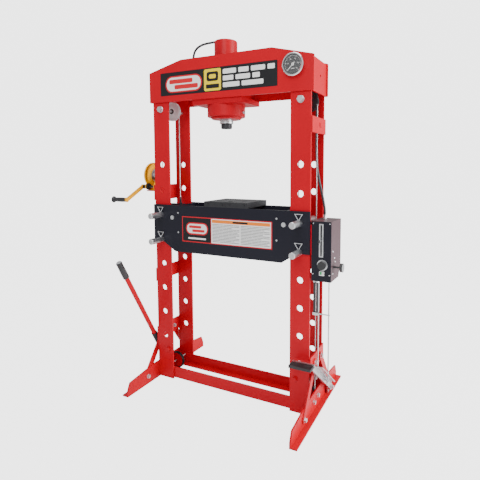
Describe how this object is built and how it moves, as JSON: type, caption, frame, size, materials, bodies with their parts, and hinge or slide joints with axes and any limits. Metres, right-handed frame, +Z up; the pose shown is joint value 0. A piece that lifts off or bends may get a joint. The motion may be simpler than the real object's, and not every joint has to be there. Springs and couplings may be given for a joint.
{
  "type": "hydraulic shop press",
  "caption": "Floor-standing hydraulic press: pinned bed in a plate-steel frame, ram under the beam, side winch, air pump and foot pedal.",
  "frame": {"origin": "on the floor, midway between the two uprights and between the front and rear plates", "axes": "+X to the press's right-hand side as seen from the front, -Y to the front, +Z up"},
  "size_m": [1.36, 0.7557, 2],
  "materials": {
    "red_paint": "gloss red enamel",
    "black_paint": "satin black enamel",
    "zinc": "bright zinc plate",
    "chrome": "hard chrome",
    "black_steel": "black oxide",
    "gauge": "bright bezel, black dial",
    "needle_white": "matt white",
    "rubber": "black rubber",
    "wire": "stranded wire",
    "yellow_paint": "gloss yellow enamel",
    "case_grey": "light grey enamel",
    "aluminium": "cast aluminium",
    "label": "printed film"
  },
  "bodies": {
    "frame": {"upright_front_left": "red_paint", "upright_front_right": "red_paint", "upright_rear_left": "red_paint", "upright_rear_right": "red_paint", "beam_front": "red_paint", "beam_rear": "red_paint", "beam_inner_plates": "red_paint", "cylinder_bracket": "red_paint", "base_beam_front": "red_paint", "base_beam_rear": "red_paint", "foot_left": "red_paint", "foot_right": "red_paint", "foot_struts": "red_paint", "tie_plates": "red_paint", "frame_bolts": "red_paint", "foot_bolts": "zinc", "pulley_axles": "zinc", "cylinder_barrel": "red_paint", "cylinder_collar": "red_paint", "bleed_screw": "zinc", "gauge_case": "gauge", "hose_elbow": "zinc", "oil_hose": "rubber", "winch_rope": "wire", "rope_ends": "black_steel", "bed_front": "black_paint", "bed_rear": "black_paint", "bed_spacers": "black_paint", "bed_screws": "zinc", "winch_frame": "yellow_paint", "handle_socket": "black_steel", "pump_case": "case_grey", "pump_panel": "black_paint", "pump_body": "aluminium", "air_hoses": "rubber", "pedal_bracket": "zinc", "labels": "label"},
    "ram": {"ram_rod": "chrome", "ram_tip": "black_steel"},
    "needle": {"gauge_needle": "needle_white"},
    "pulley_left": {"pulley_left": "zinc"},
    "pulley_right": {"pulley_right": "zinc"},
    "lower_pulley_left": {"lower_pulley_left": "black_steel"},
    "lower_pulley_right": {"lower_pulley_right": "black_steel"},
    "arbor_left": {"arbor_plate_left": "black_steel"},
    "arbor_right": {"arbor_plate_right": "black_steel"},
    "pin_upper_left": {"pin_upper_left": "zinc"},
    "pin_upper_right": {"pin_upper_right": "zinc"},
    "pin_lower_left": {"pin_lower_left": "zinc"},
    "pin_lower_right": {"pin_lower_right": "zinc"},
    "drum": {"winch_drum": "zinc"},
    "crank": {"winch_crank": "yellow_paint"},
    "grip": {"crank_grip": "rubber"},
    "handle": {"pump_handle": "red_paint"},
    "lever": {"valve_lever": "zinc"},
    "speed_knob": {"speed_knob": "rubber"},
    "release_knob": {"release_knob": "chrome"},
    "pedal": {"pedal_arm": "zinc"},
    "rod_front": {"pedal_rod_front": "zinc"},
    "rod_rear": {"pedal_rod_rear": "zinc"}
  },
  "joints": [
    {"name": "ram_slide", "type": "slide", "parent": "frame", "child": "ram", "axis": [0, 0, -1], "range_m": [0, 0.18]},
    {"name": "needle_turn", "type": "hinge", "parent": "frame", "child": "needle", "pos_m": [0.404, -0.115, 1.786], "axis": [0, 1, 0], "range_deg": [0, 270]},
    {"name": "pulley_left_turn", "type": "hinge", "parent": "frame", "child": "pulley_left", "pos_m": [-0.435, 0, 1.622], "axis": [0, 1, 0], "continuous": true},
    {"name": "pulley_right_turn", "type": "hinge", "parent": "frame", "child": "pulley_right", "pos_m": [0.435, 0, 1.622], "axis": [0, 1, 0], "continuous": true},
    {"name": "lower_pulley_left_turn", "type": "hinge", "parent": "frame", "child": "lower_pulley_left", "pos_m": [-0.435, 0, 0.072], "axis": [0, 1, 0], "continuous": true},
    {"name": "lower_pulley_right_turn", "type": "hinge", "parent": "frame", "child": "lower_pulley_right", "pos_m": [0.435, 0, 0.072], "axis": [0, 1, 0], "continuous": true},
    {"name": "arbor_left_slide", "type": "slide", "parent": "frame", "child": "arbor_left", "axis": [-1, 0, 0], "range_m": [0, 0.15]},
    {"name": "arbor_right_slide", "type": "slide", "parent": "frame", "child": "arbor_right", "axis": [1, 0, 0], "range_m": [0, 0.15]},
    {"name": "pin_upper_left_pull", "type": "slide", "parent": "frame", "child": "pin_upper_left", "axis": [0, -1, 0], "range_m": [0, 0.33]},
    {"name": "pin_upper_right_pull", "type": "slide", "parent": "frame", "child": "pin_upper_right", "axis": [0, -1, 0], "range_m": [0, 0.33]},
    {"name": "pin_lower_left_pull", "type": "slide", "parent": "frame", "child": "pin_lower_left", "axis": [0, -1, 0], "range_m": [0, 0.33]},
    {"name": "pin_lower_right_pull", "type": "slide", "parent": "frame", "child": "pin_lower_right", "axis": [0, -1, 0], "range_m": [0, 0.33]},
    {"name": "crank_turn", "type": "hinge", "parent": "frame", "child": "crank", "pos_m": [-0.6, -0.082, 1.17112], "axis": [1, 0, 0], "continuous": true},
    {"name": "drum_turn", "type": "hinge", "parent": "frame", "child": "drum", "pos_m": [-0.54, -0.02, 1.238], "axis": [1, 0, 0], "continuous": true},
    {"name": "grip_spin", "type": "hinge", "parent": "crank", "child": "grip", "pos_m": [-0.65, -0.21747, 1.09787], "axis": [1, 0, 0], "continuous": true},
    {"name": "handle_lift", "type": "slide", "parent": "frame", "child": "handle", "axis": [0, -0.4772, 0.8788], "range_m": [0, 0.15]},
    {"name": "lever_throw", "type": "hinge", "parent": "frame", "child": "lever", "pos_m": [0.547, -0.076, 0.928], "axis": [1, 0, 0], "range_deg": [-20, 20]},
    {"name": "speed_knob_turn", "type": "hinge", "parent": "frame", "child": "speed_knob", "pos_m": [0.554, -0.11, 0.806], "axis": [0, 1, 0], "range_deg": [0, 270]},
    {"name": "release_knob_turn", "type": "hinge", "parent": "frame", "child": "release_knob", "pos_m": [0.6, -0.062, 0.792], "axis": [1, 0, 0], "range_deg": [0, 180]},
    {"name": "pedal_press", "type": "hinge", "parent": "frame", "child": "pedal", "pos_m": [0.521, 0.165, 0.04], "axis": [1, 0, 0], "range_deg": [0, 6]},
    {"name": "rod_front_slide", "type": "slide", "parent": "frame", "child": "rod_front", "axis": [0, 0, -1], "range_m": [0, 0.02]},
    {"name": "rod_rear_slide", "type": "slide", "parent": "frame", "child": "rod_rear", "axis": [0, 0, -1], "range_m": [0, 0.0127]}
  ],
  "couplings": [
    {"joint": "drum_turn", "follows": "crank_turn", "ratio": -0.25},
    {"joint": "rod_front_slide", "follows": "pedal_press", "m_per_rad": 0.189},
    {"joint": "rod_rear_slide", "follows": "pedal_press", "m_per_rad": 0.12}
  ]
}
